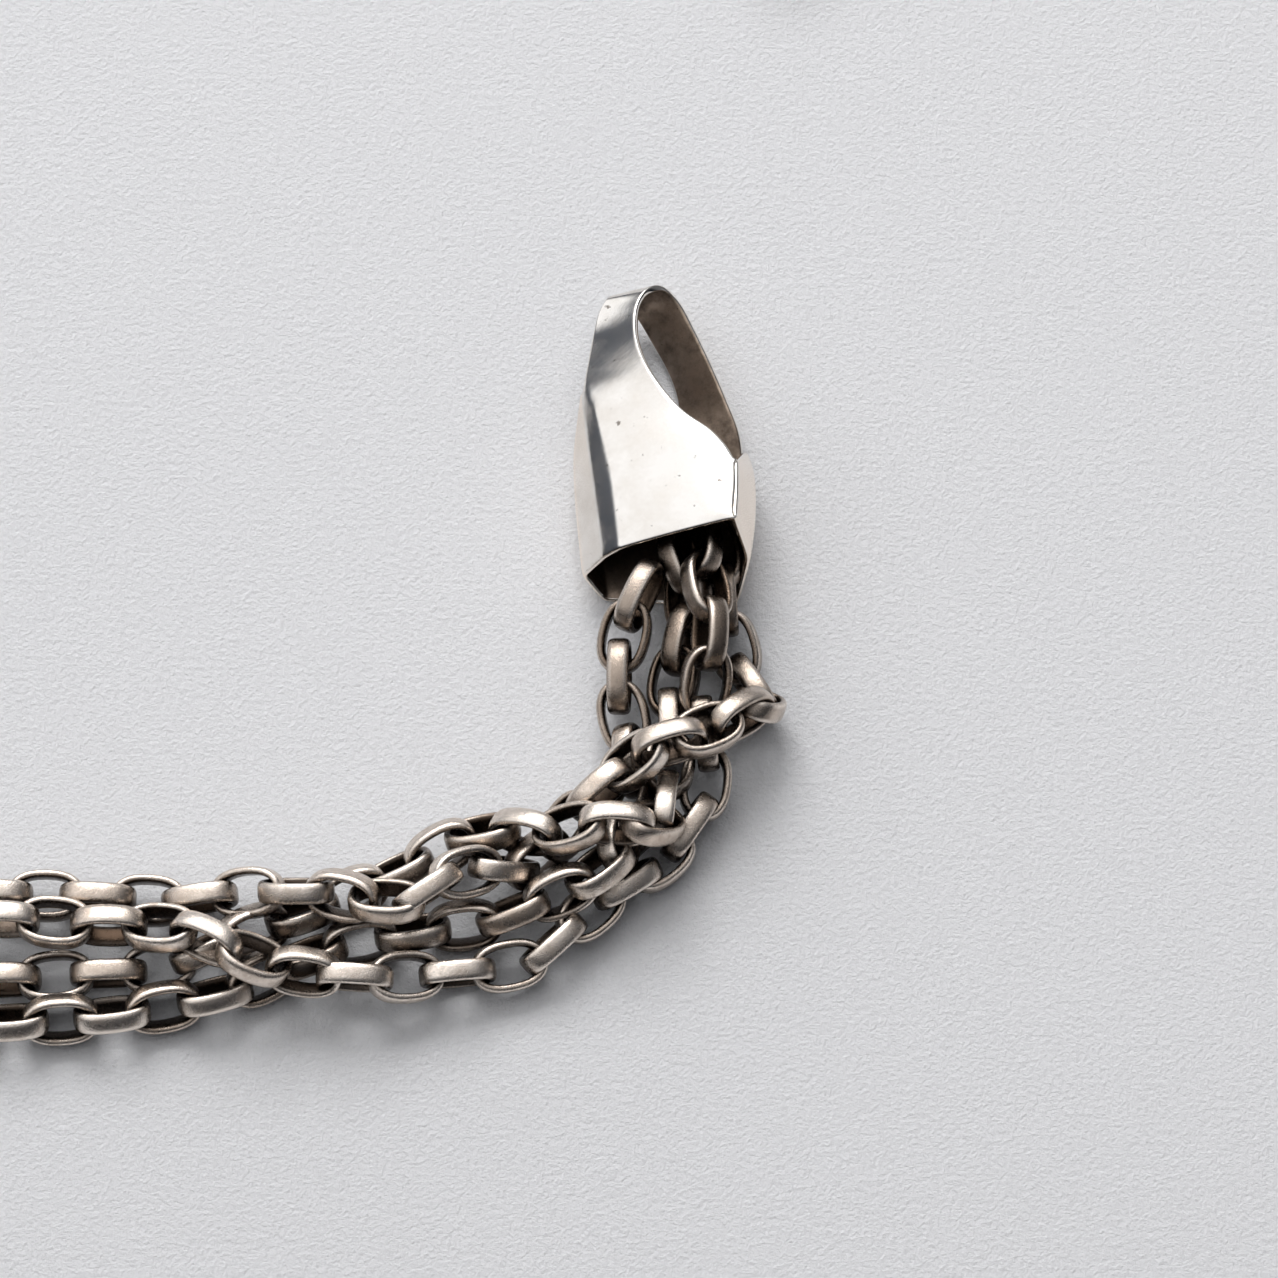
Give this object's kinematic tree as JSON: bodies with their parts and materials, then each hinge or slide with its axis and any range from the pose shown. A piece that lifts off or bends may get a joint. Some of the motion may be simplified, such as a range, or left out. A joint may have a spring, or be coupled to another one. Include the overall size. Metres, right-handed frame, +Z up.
{
  "type": "cable chain",
  "caption": "Silver necklace of belcher link strands gathered in folded sheet end caps with a bail loop, lying unclasped in an open round.",
  "frame": {"origin": "middle of the lying necklace on the surface that it lies on", "axes": "+Z up from the surface, +Y from the first cap's mouth towards its bail, +X from the loop's hidden far side to the caps"},
  "size_m": [0.1366, 0.1382, 0.0052],
  "materials": {
    "cap_silver": "worn polished silver",
    "chain_silver": "aged silver, dark in the recesses"
  },
  "bodies": {
    "root": {"end_cap_1": "cap_silver", "end_cap_2": "cap_silver", "hook_clasp": "cap_silver", "strand_1": "chain_silver", "strand_2": "chain_silver", "strand_3": "chain_silver", "strand_4": "chain_silver"}
  },
  "joints": []
}
